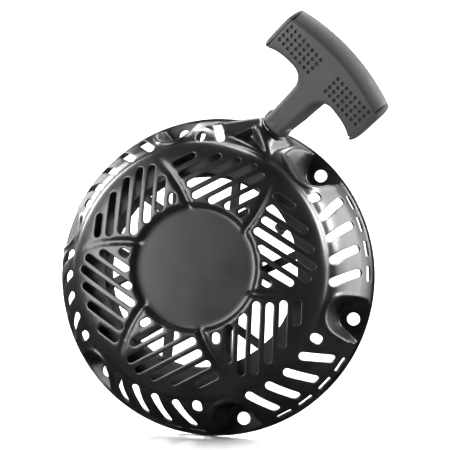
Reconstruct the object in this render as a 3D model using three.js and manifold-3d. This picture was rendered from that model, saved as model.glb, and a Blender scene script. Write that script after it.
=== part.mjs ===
// Recoil starter of a small four-stroke engine: a stamped, slotted steel housing that holds a rope reel,
// its clock spring, two pawls with their cam plate, and a T-handle on the pull rope.
// Everything is drawn in millimetres in the housing's own frame: X right and Y up across the front, Z out of
// the front along the crank axis, with Z = 0 on the mounting plane. The last lines stand that frame upright.
import * as THREE from "three";
import { mergeVertices } from "three/addons/utils/BufferGeometryUtils.js";
import { ConvexGeometry } from "three/addons/geometries/ConvexGeometry.js";
import Module from "manifold-3d";

const wasm = await Module();
wasm.setup();

const DEG = Math.PI / 180;
const GAP = 0.3; // between pieces that touch
const TURN = 2 * Math.PI;

// Housing
const SHEET = 1.5;
const SECTORS = 6;
const SECTOR = TURN / SECTORS;
const FIRST_BOLT = 45 * DEG;
const BOLT_CIRCLE_R = 89.5;
const BOLT_HOLE_R = 3.75;
const FLANGE_R = 98.3;
const FLANGE_BORE_R = 94.6;
const MEDALLION_R = 33;
const MEDALLION_Z = 63.8;
const FACE = { innerR: 36.2, top: 66, fall: 0.0062 }; // the face drops by fall times its distance out, squared
const HOUSING_PROFILE = [
  // radius and height, from the medallion's edge to the flange
  [MEDALLION_R, MEDALLION_Z],
  [FACE.innerR, FACE.top],
  [50, 64.6],
  [62, 61.7],
  [67.5, 59.4],
  [71.6, 56.2],
  [73.6, 53.6],
  [76, 51.6],
  [81, 44.8],
  [86, 34.6],
  [90, 25.4],
  [94, 12],
  [96, 3.4],
];
const LATHE_STEPS = 36;
const CUT_FROM = 50; // cutters for the face start below its sheet
const CUT_TO = 72;

// Slots: each sector repeats the same seven face slots, four skirt slots, one short slot and four lower slits.
const FACE_SLOT_W = 4;
const FACE_SLOTS = [
  // distance from the sector's own axis, then where the slot starts and ends along that axis
  { off: -57.2, from: 14.7, to: 28.5 },
  { off: -49.8, from: 15.5, to: 41 },
  { off: -42.5, from: 17, to: 49.7 },
  { off: -35.3, from: 16.8, to: 55.8 },
  { off: -28.3, from: 23.5, to: 57 },
  { off: -21.3, from: 30, to: 50.5 },
  { off: -14.3, from: 34.5, to: 40.7 },
];
const SKIRT_SLOT_W = 4.4;
const SKIRT_SLOT_IN = { r: 75.6, z: 15 }; // the cut stops above the flange
const SKIRT_SLOT_OUT_R = 88.6;
const SKIRT_SLOTS = [
  // degrees back from the sector's first bolt hole, at the slot's two ends
  { inner: -21.5, outer: -16.6 },
  { inner: -30.9, outer: -26.4 },
  { inner: -40.2, outer: -35.6 },
  { inner: -49.5, outer: -44.6 },
];
const SHORT_SLOT = { r: 76.3, angle: -12.4, length: 7, width: 5, cutFrom: 40 };
const SLIT = { z: 8.8, height: 9, length: 9, depth: 12, angles: [-17.2, -25.9, -35.1, -44.2] };
const SKIRT_NUDGE = 1.6; // degrees that the first sector's skirt slots are turned on
const OUTLET_SECTOR = 1; // counted from the first bolt hole: most of its skirt is the rope outlet

// Swept grooves that divide the face
const GROOVE = {
  from: 34, to: 64, width: 5, depth: 2.2, steps: 5,
  start: 39.5 * DEG, // its angle at the face's inner edge
  sweep: 0.446 * DEG, // turned on by this much for each millimetre out
  fade: 0.625, // share of the depth lost at the outer end
  floor: 0.4, // the floor's width as a share of the mouth's
  clear: 2, // the cutter's height above the face
};

// Pockets round the mounting holes, in the frame of one hole's own radius: a round inner end, then open sides.
const POCKET_FLOOR = { centre: 88.5, r: 9, mouthX: 104, mouthY: 18, z: SHEET };
const POCKET_TOP = { centre: 88, r: 13.8, mouthX: 104, mouthY: 22, z: 62 };
const POCKET_ARC_STEPS = 8;
const POCKET_CUT_BELOW = -4;

// Rope line: where the handle's seat is, and which way the rope is pulled
const SEAT = new THREE.Vector3(36.8, 82.8, 43.4);
const PULL_TURN = 40.3 * DEG; // from +X, round the crank axis
const PULL_LEAN = 25 * DEG; // towards the front
const GRIP_ROLL = -7.7 * DEG; // the grip's turn about the pull line
const OUTLET = {
  seatR: 9.6,
  seatSides: 10,
  boreR: 5.3,
  boreFrom: -23, // along the pull line
  boreTo: 7,
  corners: [[0, 84, 42], [0, 89.5, 26], [0, 95, 4], [14, 72, 53], [35, 62, 53], [51, 76, 6], [24, 93, 4]],
  roots: [[0, 40, 0], [40, 40, 0], [20, 40, 45]], // inside the shell
  middle: [20, 70, 28],
  draw: 1.3, // the corners go in by this many wall thicknesses for the hollow
};
const ROPE_R = 2;
const ROPE_Z = 42;
const ROPE_COIL_R = 66.2;
const ROPE_STRANDS = 3; // side by side in the reel's groove
const STRAND_DIP = 1.4;
const LEAD_STOP = -7.6; // the lead's end on the pull line, under the eyelet

// Reel
const REEL = { flangeR: 71.5, floorR: 58, boreR: 55.5, back: 33, front: 50, wall: 2.2 };
const HUB = { r: 34, back: 36, front: 60, boreR: 8.8 };
const SPRING_CAVITY = { inner: 11, outer: 32, back: 48 };
const SPOKE = { count: 6, spread: 12 * DEG, width: 4.2, back: 38, front: 46 };
const SPOKE_LAP = 1; // into the rim and the hub
const BUSH = { inner: 6.3, outer: 8.5 };
const SPRING_COVER = { inner: 9.2, outer: 33, thick: 0.9 };
const REEL_KNOT = { r: 4, angle: 30 * DEG };

// Clock spring: a flat strip wound from its inner to its outer radius
const SPRING = { inner: 12.4, outer: 30.4, back: 49, front: 58.5, turns: 5, perTurn: 18, halfStrip: 0.5 };

// Centre post, bolt and washer
const POST = { r: 6, end: 26.3, boreR: 3.7, boreTo: 48, footR: 8.2, footHeight: 1 };
const BOLT = { hexR: 6.2, hexHeight: 4.3, hexMiddle: 22.2, flangeR: 7.6, flangeBack: 23.6, flangeFront: 24.4 };
const BOLT_SHANK = { r: 3.4, back: 23, front: 44 };
const WASHER = { inner: 3.7, outer: 9.5, back: 24.7, front: 26 };

// Pawls and the cam plate that swings them out
const PAWL = { pivotR: 24, back: 31.5, front: 35.5, boreR: 2.7, swing: 20 * DEG, eyeR: 5.2 };
const PAWL_BLADE = [[4.6, 8], [4.2, 19.5], [1.6, 22.4], [-1.2, 21.4], [-4.4, 15], [-5.2, 7]];
const PEG = { x: -2.1, y: 13.9, r: 1.4, overhang: 0.8, play: 0.6 };
const CAM = { r: 18, lobeR: 34, back: 28.5, front: 30.3, boreR: POST.r + GAP, turn: 28 * DEG, steps: 8 };
const CAM_LOBE_ANGLES = [-14, -6, 4, 14, 24, 34, 44, 52];
const PAWL_PIN = { r: 2.4, depth: 6.5, clear: 0.5 }; // depth into the reel's hub, clear of the cam plate
const PAWL_SPRING = { r: 4, wireR: 0.35, turns: 2.5, perTurn: 10, pitch: 0.95, lift: 0.9, pocketR: 5.2, pocket: 4.2 };
const PIN_HOLE_DEPTH = 7;
const FRICTION_RING = { r: 7.6, wireR: 0.75, z: 27.3 };

// Handle, in its own frame: X across, Y out along the pull, Z to its front
const GRIP = { half: 33.8, thick: 11, crest: 57.8, bulge: 6, droop: 0.0042, under: 36.8, tip: 5 };
const GRIP_STATIONS = [-1, -0.85, -0.6, -0.3, 0, 0.3, 0.6, 0.85, 1]; // shares of its half width
const GRIP_UNDER = { flat: 0.62, rise: 3.5 }; // the underside's flat part and the height of its rounded edges
const STEM_FROM = 2.1;
const STEM_SECTIONS = [
  // half width in front and at the back, half thickness, and distance along the pull line
  [6.1, 7.8, 8.28, STEM_FROM],
  [6.5, 9.2, 9, 16],
  [7, 9.8, 9.4, 28.5],
  [8.3, 10.8, 9.8, 32.6],
  [10.6, 12.6, 10.2, 35.2],
  [15, 15.8, 10.6, 37.4],
  [16, 16.4, 10.8, 40],
];
const STEM_CORNER = 0.45; // corner radius as a share of the smaller half size
const COLLAR_PROFILE = [[0, STEM_FROM], [8, STEM_FROM], [8.8, 3.3], [8.8, 6.5], [7.3, 8.5], [0, 8.5]];
const HANDLE_BORE_R = 2.7;
const KNOT_POCKET = { from: 38, to: 52, half: 7, front: 5, depth: 25 };
const KNOT_COVER = { thick: 1.8, inset: 1.1 }; // its middle lies this far inside the handle's back
const KNOT = { r: 4.2, along: 44.4 };
const KNOT_WASHER = { inner: 2.6, outer: 4.8, to: 39.5 };
const END_CAP = [
  // distance beyond the grip's end and the section's scale there
  { out: GAP, scale: 1 },
  { out: 1.7, scale: 0.93 },
  { out: 2.9, scale: 0.72 },
];
const ROPE_PULL = { from: -5.8, to: 39.8, sides: 8 };
const EYELET_PROFILE = [
  [HANDLE_BORE_R, -5.6], [5, -5.6], [5, GAP], [8.2, GAP], [8.2, 1.1], [7.4, 1.8], [HANDLE_BORE_R, 1.8],
  [HANDLE_BORE_R, -5.6],
];

// --- helpers ---

// A closed three.js geometry as a solid that can be joined and cut.
function solid(geometry) {
  const bare = geometry.index ? geometry.toNonIndexed() : geometry.clone();
  bare.deleteAttribute("normal");
  bare.deleteAttribute("uv");
  const merged = mergeVertices(bare, 1e-4);
  const vertProperties = new Float32Array(merged.attributes.position.array);
  const triVerts = new Uint32Array(merged.index.array);
  return new wasm.Manifold(new wasm.Mesh({ numProp: 3, vertProperties, triVerts }));
}

// A solid as a geometry for a mesh.
function geometryOf(body) {
  const mesh = body.getMesh();
  const geometry = new THREE.BufferGeometry();
  geometry.setAttribute("position", new THREE.BufferAttribute(new Float32Array(mesh.vertProperties), 3));
  geometry.setIndex(new THREE.BufferAttribute(new Uint32Array(mesh.triVerts), 1));
  geometry.computeVertexNormals();
  return geometry;
}

function join(bodies) {
  return bodies.reduce((sum, body) => sum.add(body));
}

// A solid skinned over rings of points, all rings with the same count, the ends closed by fans.
function loft(rings) {
  const count = rings[0].length;
  const points = rings.flat();
  const ends = [rings[0], rings[rings.length - 1]].map((ring) =>
    ring.reduce((sum, p) => sum.add(p), new THREE.Vector3()).divideScalar(count),
  );
  const first = points.push(ends[0]) - 1;
  const last = points.push(ends[1]) - 1;
  const index = [];
  for (let i = 0; i + 1 < rings.length; i += 1) {
    for (let j = 0; j < count; j += 1) {
      const a = i * count + j;
      const b = i * count + ((j + 1) % count);
      index.push(a, b, b + count, a, b + count, a + count);
    }
  }
  const top = (rings.length - 1) * count;
  for (let j = 0; j < count; j += 1) {
    index.push(first, (j + 1) % count, j);
    index.push(last, top + j, top + ((j + 1) % count));
  }
  const geometry = new THREE.BufferGeometry().setFromPoints(points);
  geometry.setIndex(index);
  return geometry;
}

// A solid of revolution about Z from [radius, z] points that start and end on the axis or close on themselves.
function lathe(profile, steps = LATHE_STEPS) {
  const geometry = new THREE.LatheGeometry(profile.map(([r, z]) => new THREE.Vector2(r, z)), steps);
  return geometry.rotateX(Math.PI / 2).rotateZ(SECTOR / 2);
}

// A ring of rectangular section about Z.
function ring(inner, outer, back, front, steps = 32) {
  return lathe([[inner, back], [outer, back], [outer, front], [inner, front], [inner, back]], steps);
}

function disc(r, back, front, steps = 24) {
  return lathe([[0, back], [r, back], [r, front], [0, front]], steps);
}

function prism(points, back, front) {
  const shape = new THREE.Shape(points.map(([x, y]) => new THREE.Vector2(x, y)));
  const geometry = new THREE.ExtrudeGeometry(shape, { depth: front - back, bevelEnabled: false });
  return geometry.translate(0, 0, back);
}

// The outline of a slot with round ends between two points.
function slotOutline(start, end, width, steps = 2) {
  const along = Math.atan2(end[1] - start[1], end[0] - start[0]);
  const r = width / 2;
  const points = [];
  for (const [centre, turn] of [[end, -0.5], [start, 0.5]]) {
    for (let i = 0; i <= steps; i += 1) {
      const angle = along + Math.PI * (turn + i / steps);
      points.push([centre[0] + r * Math.cos(angle), centre[1] + r * Math.sin(angle)]);
    }
  }
  return points;
}

function polar(r, angle) {
  return [r * Math.cos(angle), r * Math.sin(angle)];
}

// A shape about Z turned to stand about the pull line.
function upY(geometry) {
  return geometry.rotateX(-Math.PI / 2);
}

// A profile moved inwards by the sheet's thickness.
function offsetProfile(profile, distance) {
  return profile.map(([r, z], i) => {
    const [r0, z0] = profile[Math.max(i - 1, 0)];
    const [r1, z1] = profile[Math.min(i + 1, profile.length - 1)];
    const length = Math.hypot(r1 - r0, z1 - z0);
    return [r + ((z1 - z0) / length) * distance, z - ((r1 - r0) / length) * distance];
  });
}

// A tube along a straight or curved path.
function rope(points, r, steps, sides = 8) {
  const shape = new THREE.Shape();
  shape.moveTo(r, 0);
  for (let i = 1; i < sides; i += 1) shape.lineTo(...polar(r, (TURN * i) / sides));
  const path = new THREE.CatmullRomCurve3(points);
  return new THREE.ExtrudeGeometry(shape, { steps, extrudePath: path, bevelEnabled: false });
}

// --- housing ---

const pull = new THREE.Vector3(
  Math.cos(PULL_LEAN) * Math.cos(PULL_TURN),
  Math.cos(PULL_LEAN) * Math.sin(PULL_TURN),
  Math.sin(PULL_LEAN),
);
const across = new THREE.Vector3(Math.sin(PULL_TURN), -Math.cos(PULL_TURN), 0).applyAxisAngle(pull, -GRIP_ROLL);
const handleFront = new THREE.Vector3().crossVectors(across, pull);
const handleFrame = new THREE.Matrix4().makeBasis(across, pull, handleFront).setPosition(SEAT);

function pocketRing(pocket, grow, z, angle) {
  const ends = [];
  ends.push([pocket.mouthX, -pocket.mouthY - grow]);
  ends.push([pocket.mouthX, pocket.mouthY + grow]);
  for (let i = 0; i <= POCKET_ARC_STEPS; i += 1) {
    const [x, y] = polar(pocket.r + grow, Math.PI * (0.5 + i / POCKET_ARC_STEPS));
    ends.push([pocket.centre + x, y]);
  }
  return ends.map(([x, y]) => new THREE.Vector3(x, y, z).applyAxisAngle(new THREE.Vector3(0, 0, 1), angle));
}

function pocketSolid(angle, grow, floorZ) {
  return loft([
    pocketRing(POCKET_FLOOR, grow, floorZ, angle),
    pocketRing(POCKET_TOP, grow, POCKET_TOP.z, angle),
  ]);
}

// One swept groove as a bar that dips into the face, or, with sink, the bulge that it leaves inside.
function grooveSolid(angle, sink) {
  const rings = [];
  for (let i = 0; i <= GROOVE.steps; i += 1) {
    const t = i / GROOVE.steps;
    const r = GROOVE.from + (GROOVE.to - GROOVE.from) * t;
    const place = angle + GROOVE.start + GROOVE.sweep * (r - FACE.innerR);
    const [x, y] = polar(r, place);
    const heading = place + Math.atan(r * GROOVE.sweep);
    const side = new THREE.Vector3(-Math.sin(heading), Math.cos(heading), 0);
    const surface = FACE.top - FACE.fall * (r - FACE.innerR) ** 2;
    const bottom = surface - GROOVE.depth * (1 - GROOVE.fade * t) - sink;
    const half = GROOVE.width / 2 + sink;
    const corner = (offset, z) => new THREE.Vector3(x, y, z).addScaledVector(side, offset);
    rings.push([
      corner(-half * GROOVE.floor, bottom),
      corner(half * GROOVE.floor, bottom),
      corner(half, surface + GROOVE.clear),
      corner(-half, surface + GROOVE.clear),
    ]);
  }
  return loft(rings);
}

// The bulge that the rope leaves by: a blunt block between the skirt and the handle's seat.
function outletBlock(inset) {
  const points = [];
  for (let i = 0; i < OUTLET.seatSides; i += 1) {
    const [x, y] = polar(OUTLET.seatR - inset, (TURN * i) / OUTLET.seatSides);
    points.push(new THREE.Vector3(x, -inset, y).applyMatrix4(handleFrame));
  }
  const middle = new THREE.Vector3(...OUTLET.middle);
  for (const place of OUTLET.corners) {
    const corner = new THREE.Vector3(...place);
    points.push(corner.addScaledVector(middle.clone().sub(corner).normalize(), inset * OUTLET.draw));
  }
  for (const place of OUTLET.roots) points.push(new THREE.Vector3(...place));
  return new ConvexGeometry(points);
}

function housingShape() {
  const outerProfile = [[0, 0], [FLANGE_R, 0], [FLANGE_R, SHEET], ...[...HOUSING_PROFILE].reverse(), [0, MEDALLION_Z]];
  const inner = offsetProfile(HOUSING_PROFILE, SHEET).reverse();
  inner[inner.length - 1][1] = MEDALLION_Z - SHEET;
  inner[0][0] = FLANGE_BORE_R;
  const voidProfile = [[0, -2], [FLANGE_BORE_R, -2], ...inner, [0, MEDALLION_Z - SHEET]];
  let body = solid(lathe(outerProfile)).add(solid(outletBlock(0)));
  let hollow = solid(lathe(voidProfile)).add(solid(outletBlock(SHEET)));
  for (let i = 0; i < SECTORS; i += 1) {
    const turn = i * SECTOR;
    body = body.subtract(solid(pocketSolid(FIRST_BOLT + turn, 0, SHEET)));
    body = body.subtract(solid(grooveSolid(turn, 0)));
    hollow = hollow.subtract(solid(pocketSolid(FIRST_BOLT + turn, SHEET, POCKET_CUT_BELOW)));
    hollow = hollow.subtract(solid(grooveSolid(turn, SHEET)));
  }
  return body.subtract(hollow);
}

function faceSlotCutters(turn) {
  return FACE_SLOTS.map(({ off, from, to }) => {
    const half = FACE_SLOT_W / 2;
    const outline = slotOutline([off, from + half], [off, to - half], FACE_SLOT_W);
    return prism(outline, CUT_FROM, CUT_TO).rotateZ(turn);
  });
}

function skirtCutters(index) {
  const base = FIRST_BOLT + index * SECTOR + (index === 0 ? SKIRT_NUDGE * DEG : 0);
  const slots = index === OUTLET_SECTOR ? SKIRT_SLOTS.slice(0, 1) : SKIRT_SLOTS;
  const cutters = slots.map(({ inner, outer }) => {
    const start = polar(SKIRT_SLOT_IN.r, base + inner * DEG);
    const end = polar(SKIRT_SLOT_OUT_R, base + outer * DEG);
    return prism(slotOutline(start, end, SKIRT_SLOT_W), SKIRT_SLOT_IN.z, CUT_TO);
  });
  const middle = base + SHORT_SLOT.angle * DEG;
  const reach = (SHORT_SLOT.length - SHORT_SLOT.width) / 2;
  const ends = [-reach, reach].map((x) => polar(SHORT_SLOT.r + x, middle));
  cutters.push(prism(slotOutline(ends[0], ends[1], SHORT_SLOT.width), SHORT_SLOT.cutFrom, CUT_TO));
  const slits = index === OUTLET_SECTOR ? [] : SLIT.angles;
  for (const angle of slits) {
    const box = new THREE.BoxGeometry(SLIT.depth, SLIT.length, SLIT.height);
    cutters.push(box.translate(FLANGE_R - SLIT.depth / 2, 0, SLIT.z).rotateZ(base + angle * DEG));
  }
  return cutters;
}

function buildHousing() {
  let body = housingShape();
  for (let i = 0; i < SECTORS; i += 1) {
    const cutters = [...faceSlotCutters(i * SECTOR), ...skirtCutters(i)];
    const hole = disc(BOLT_HOLE_R, -SHEET, 2 * SHEET, 16);
    cutters.push(hole.translate(...polar(BOLT_CIRCLE_R, FIRST_BOLT + i * SECTOR), 0));
    body = body.subtract(join(cutters.map(solid)));
  }
  const bore = upY(disc(OUTLET.boreR, OUTLET.boreFrom, OUTLET.boreTo, 16)).applyMatrix4(handleFrame);
  return geometryOf(body.subtract(solid(bore)));
}

// --- rope path inside the housing ---

const LEAD_R = ROPE_COIL_R + ROPE_R + GAP;
const leadEnd = SEAT.clone().addScaledVector(pull, LEAD_STOP);
const leadReach = Math.hypot(leadEnd.x, leadEnd.y);
const leadTouch = Math.atan2(leadEnd.y, leadEnd.x) + Math.acos(LEAD_R / leadReach);
const leadStart = new THREE.Vector3(...polar(LEAD_R, leadTouch), ROPE_Z);

// --- reel ---

function spoke(angle, spread) {
  const start = new THREE.Vector2(...polar(HUB.r - SPOKE_LAP, angle));
  const end = new THREE.Vector2(...polar(REEL.boreR + SPOKE_LAP, angle + spread));
  const length = start.distanceTo(end);
  const box = new THREE.BoxGeometry(length, SPOKE.width, SPOKE.front - SPOKE.back);
  const heading = Math.atan2(end.y - start.y, end.x - start.x);
  box.rotateZ(heading);
  return box.translate((start.x + end.x) / 2, (start.y + end.y) / 2, (SPOKE.back + SPOKE.front) / 2);
}

function pawlPivot(index) {
  return polar(PAWL.pivotR, index * Math.PI);
}

function buildReel() {
  const { back, front, wall, flangeR, floorR, boreR } = REEL;
  const rim = lathe([
    [boreR, back], [flangeR, back], [flangeR, back + wall], [floorR, back + wall],
    [floorR, front - wall], [flangeR, front - wall], [flangeR, front], [boreR, front], [boreR, back],
  ]);
  const hub = lathe([
    [HUB.boreR, HUB.back], [HUB.r, HUB.back], [HUB.r, HUB.front], [SPRING_CAVITY.outer, HUB.front],
    [SPRING_CAVITY.outer, SPRING_CAVITY.back], [SPRING_CAVITY.inner, SPRING_CAVITY.back],
    [SPRING_CAVITY.inner, HUB.front], [HUB.boreR, HUB.front], [HUB.boreR, HUB.back],
  ], 40);
  const pieces = [rim, hub];
  for (let i = 0; i < SPOKE.count; i += 1) {
    const angle = (TURN * i) / SPOKE.count;
    pieces.push(spoke(angle, SPOKE.spread), spoke(angle, -SPOKE.spread));
  }
  let body = join(pieces.map(solid));
  for (const index of [0, 1]) {
    const [x, y] = pawlPivot(index);
    const pinHole = disc(PAWL.boreR, HUB.back - 1, HUB.back + PIN_HOLE_DEPTH, 12).translate(x, y, 0);
    const springHole = disc(PAWL_SPRING.pocketR, HUB.back - 1, HUB.back + PAWL_SPRING.pocket, 12).translate(x, y, 0);
    body = body.subtract(solid(pinHole)).subtract(solid(springHole));
  }
  return geometryOf(body);
}

// A flat strip wound as a clock spring.
function buildSpring() {
  const steps = SPRING.turns * SPRING.perTurn;
  const line = [];
  for (let i = 0; i <= steps; i += 1) {
    line.push([SPRING.inner + ((SPRING.outer - SPRING.inner) * i) / steps, (TURN * i) / SPRING.perTurn]);
  }
  const outside = line.map(([r, angle]) => polar(r + SPRING.halfStrip, angle));
  const inside = line.map(([r, angle]) => polar(r - SPRING.halfStrip, angle)).reverse();
  return prism([...outside, ...inside], SPRING.back, SPRING.front);
}

function ropeCoilProfile() {
  const inner = REEL.floorR + GAP;
  const back = REEL.back + REEL.wall + GAP;
  const front = REEL.front - REEL.wall - GAP;
  const strand = (front - back) / ROPE_STRANDS;
  const profile = [[inner, back]];
  for (let i = 0; i < ROPE_STRANDS; i += 1) {
    for (const [dip, share] of [[STRAND_DIP, 0.01], [0, 0.3], [0, 0.7], [STRAND_DIP, 0.99]]) {
      profile.push([ROPE_COIL_R - dip, back + (i + share) * strand]);
    }
  }
  profile.push([inner, front], [inner, back]);
  return profile;
}

// --- pawls, cam plate, post ---

function buildPawl() {
  const outline = [];
  const arc = 8;
  for (let i = 0; i <= arc; i += 1) outline.push(polar(PAWL.eyeR, Math.PI * (1 + i / arc)));
  outline.push(...PAWL_BLADE);
  const body = solid(prism(outline, PAWL.back, PAWL.front));
  const peg = solid(disc(PEG.r, CAM.back - PEG.overhang, PAWL.back + 1, 10).translate(PEG.x, PEG.y, 0));
  const bore = solid(disc(PAWL.boreR, PAWL.back - 1, PAWL.front + 1, 12));
  return geometryOf(body.add(peg).subtract(bore)).translate(PAWL.pivotR, 0, 0);
}

// The peg's place, seen from the cam plate, as the plate turns through its share t of its travel.
function pegInPlate(t) {
  const swing = -PAWL.swing * t;
  const x = PAWL.pivotR + PEG.x * Math.cos(swing) - PEG.y * Math.sin(swing);
  const y = PEG.x * Math.sin(swing) + PEG.y * Math.cos(swing);
  return polar(Math.hypot(x, y), Math.atan2(y, x) - CAM.turn * t);
}

function buildCamPlate() {
  const lobe = CAM_LOBE_ANGLES.map((angle) => polar(CAM.lobeR, angle * DEG));
  const lobes = [0, 1].map((i) => prism([[0, 0], ...lobe], CAM.back, CAM.front).rotateZ(i * Math.PI));
  let plate = solid(disc(CAM.r, CAM.back, CAM.front, 32));
  for (const piece of lobes) plate = plate.add(solid(piece));
  const slotHalf = PEG.r + PEG.play;
  const sides = [[], []];
  for (let i = -1; i <= CAM.steps + 1; i += 1) {
    const [x, y] = pegInPlate(i / CAM.steps);
    const [x2, y2] = pegInPlate((i + 0.5) / CAM.steps);
    const length = Math.hypot(x2 - x, y2 - y);
    const normal = [-(y2 - y) / length, (x2 - x) / length];
    sides[0].push([x + normal[0] * slotHalf, y + normal[1] * slotHalf]);
    sides[1].unshift([x - normal[0] * slotHalf, y - normal[1] * slotHalf]);
  }
  const slot = prism([...sides[0], ...sides[1]].reverse(), CAM.back - 1, CAM.front + 1);
  for (const i of [0, 1]) plate = plate.subtract(solid(slot.clone().rotateZ(i * Math.PI)));
  return geometryOf(plate.subtract(solid(disc(CAM.boreR, CAM.back - 1, CAM.front + 1))));
}

function buildPawlSpring() {
  const { r, wireR, turns, perTurn, pitch, lift } = PAWL_SPRING;
  const points = [];
  for (let i = 0; i <= turns * perTurn; i += 1) {
    const [x, y] = polar(r, (TURN * i) / perTurn);
    points.push(new THREE.Vector3(x, y, HUB.back + lift + (pitch * i) / perTurn));
  }
  return rope(points, wireR, points.length, 5).translate(PAWL.pivotR, 0, 0);
}

function buildPost() {
  const base = MEDALLION_Z - SHEET - GAP;
  const foot = base - POST.footHeight;
  return lathe([
    [POST.boreR, POST.end], [POST.r, POST.end], [POST.r, foot], [POST.footR, foot], [POST.footR, base],
    [0, base], [0, POST.boreTo], [POST.boreR, POST.boreTo], [POST.boreR, POST.end],
  ], 24);
}

function buildBolt() {
  const head = new THREE.CylinderGeometry(BOLT.hexR, BOLT.hexR, BOLT.hexHeight, 6).rotateX(Math.PI / 2);
  head.translate(0, 0, BOLT.hexMiddle);
  const flange = disc(BOLT.flangeR, BOLT.flangeBack, BOLT.flangeFront);
  const shank = disc(BOLT_SHANK.r, BOLT_SHANK.back, BOLT_SHANK.front, 16);
  return geometryOf(join([head, flange, shank].map(solid)));
}

// --- handle ---

// One section across the grip: flat front and back, a crowned outer side and a slightly rounded underside.
function gripSection(x) {
  const end = Math.abs(x) / GRIP.half;
  const crest = GRIP.crest - GRIP.droop * x * x;
  const under = GRIP.under - GRIP.tip * end ** 5;
  const thick = GRIP.thick * (1 - 0.12 * end ** 4);
  const edge = under + GRIP_UNDER.rise;
  const points = [[under, -thick * GRIP_UNDER.flat], [edge, -thick]];
  const arc = 6;
  for (let i = 0; i <= arc; i += 1) {
    const angle = Math.PI * (i / arc - 0.5);
    points.push([crest + GRIP.bulge * Math.cos(angle), thick * Math.sin(angle)]);
  }
  points.push([edge, thick], [under, thick * GRIP_UNDER.flat]);
  return points.map(([y, z]) => new THREE.Vector3(x, y, z));
}

function stemRing([frontX, backX, halfZ, y]) {
  const corner = Math.min(frontX, halfZ) * STEM_CORNER;
  const points = [];
  for (const [sx, sz, from] of [[1, 1, 0], [-1, 1, 1], [-1, -1, 2], [1, -1, 3]]) {
    const halfX = sz > 0 ? frontX : backX;
    for (let i = 0; i <= 2; i += 1) {
      const [x, z] = polar(corner, (Math.PI / 2) * (from + i / 2));
      points.push(new THREE.Vector3(sx * (halfX - corner) + x, y, sz * (halfZ - corner) + z));
    }
  }
  return points.reverse();
}

function buildHandle() {
  const grip = solid(loft(GRIP_STATIONS.map((share) => gripSection(share * GRIP.half))));
  const stem = solid(loft(STEM_SECTIONS.map(stemRing)));
  const collar = solid(upY(lathe(COLLAR_PROFILE, 24)));
  const { from, to, half, front, depth } = KNOT_POCKET;
  const bore = solid(upY(disc(HANDLE_BORE_R, 0, from + 1, 12)));
  const box = new THREE.BoxGeometry(2 * half, to - from, depth);
  const pocket = solid(box.translate(0, (from + to) / 2, front - depth / 2));
  return geometryOf(join([grip, stem, collar]).subtract(bore).subtract(pocket));
}

function buildEndCap(side) {
  const section = gripSection(GRIP.half);
  const middle = section.reduce((sum, p) => sum.add(p), new THREE.Vector3()).divideScalar(section.length);
  const rings = END_CAP.map(({ out, scale }) =>
    section.map((p) => middle.clone().lerp(p, scale).setX(GRIP.half + out)),
  );
  const cap = loft(rings);
  return side > 0 ? cap : cap.rotateY(Math.PI);
}

function buildKnotCover() {
  const { from, to, half } = KNOT_POCKET;
  const box = new THREE.BoxGeometry(2 * (half - GAP), to - from - 2 * GAP, KNOT_COVER.thick);
  return box.translate(0, (from + to) / 2, KNOT_COVER.inset - GRIP.thick);
}

// --- materials ---

function material(color, roughness, metalness) {
  return new THREE.MeshStandardMaterial({ color, roughness, metalness });
}

const BLACK_PAINT = material(0x1b1c1e, 0.42, 0.3);
const GREY_PLASTIC = material(0x4a4d50, 0.7, 0);
const REEL_PLASTIC = material(0x161616, 0.6, 0);
const ROPE_FIBRE = material(0x24262a, 0.9, 0);
const BARE_STEEL = material(0x9a9da0, 0.35, 1);
const SPRING_STEEL = material(0x5c6066, 0.3, 1);
const BUSH_PLASTIC = material(0xd8d2c0, 0.6, 0);

// --- assembly ---

const starter = new THREE.Group();

function addMesh(parent, name, geometry, finish) {
  const mesh = new THREE.Mesh(geometry, finish);
  mesh.name = name;
  parent.add(mesh);
  return mesh;
}

addMesh(starter, "housing", buildHousing(), BLACK_PAINT);
addMesh(starter, "centre_post", buildPost(), BARE_STEEL);
addMesh(starter, "recoil_spring", buildSpring(), SPRING_STEEL);
addMesh(starter, "bolt_washer", ring(WASHER.inner, WASHER.outer, WASHER.back, WASHER.front, 24), BARE_STEEL);
addMesh(starter, "centre_bolt", buildBolt(), BARE_STEEL);
addMesh(starter, "rope_lead", rope([leadStart, leadStart.clone().lerp(leadEnd, 0.5), leadEnd], ROPE_R, 6), ROPE_FIBRE);

const reelGroup = new THREE.Group();
addMesh(reelGroup, "reel", buildReel(), REEL_PLASTIC);
addMesh(reelGroup, "reel_bush", ring(BUSH.inner, BUSH.outer, HUB.back, HUB.front, 24), BUSH_PLASTIC);
const coverBack = HUB.front + GAP;
const cover = ring(SPRING_COVER.inner, SPRING_COVER.outer, coverBack, coverBack + SPRING_COVER.thick, 36);
addMesh(reelGroup, "spring_cover", cover, BARE_STEEL);
addMesh(reelGroup, "rope_coil", lathe(ropeCoilProfile(), 36), ROPE_FIBRE);
const knotPlace = polar(REEL.boreR - REEL_KNOT.r - GAP, REEL_KNOT.angle);
const reelKnot = new THREE.SphereGeometry(REEL_KNOT.r, 10, 6).translate(...knotPlace, ROPE_Z);
addMesh(reelGroup, "reel_knot", reelKnot, ROPE_FIBRE);
for (const i of [0, 1]) {
  const place = new THREE.Group();
  place.rotation.z = i * Math.PI;
  addMesh(place, `pawl_${i + 1}`, buildPawl(), BARE_STEEL);
  const pin = disc(PAWL_PIN.r, CAM.front + PAWL_PIN.clear, HUB.back + PAWL_PIN.depth, 12);
  addMesh(place, `pawl_pin_${i + 1}`, pin.translate(PAWL.pivotR, 0, 0), BARE_STEEL);
  addMesh(place, `pawl_spring_${i + 1}`, buildPawlSpring(), SPRING_STEEL);
  reelGroup.add(place);
}
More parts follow.
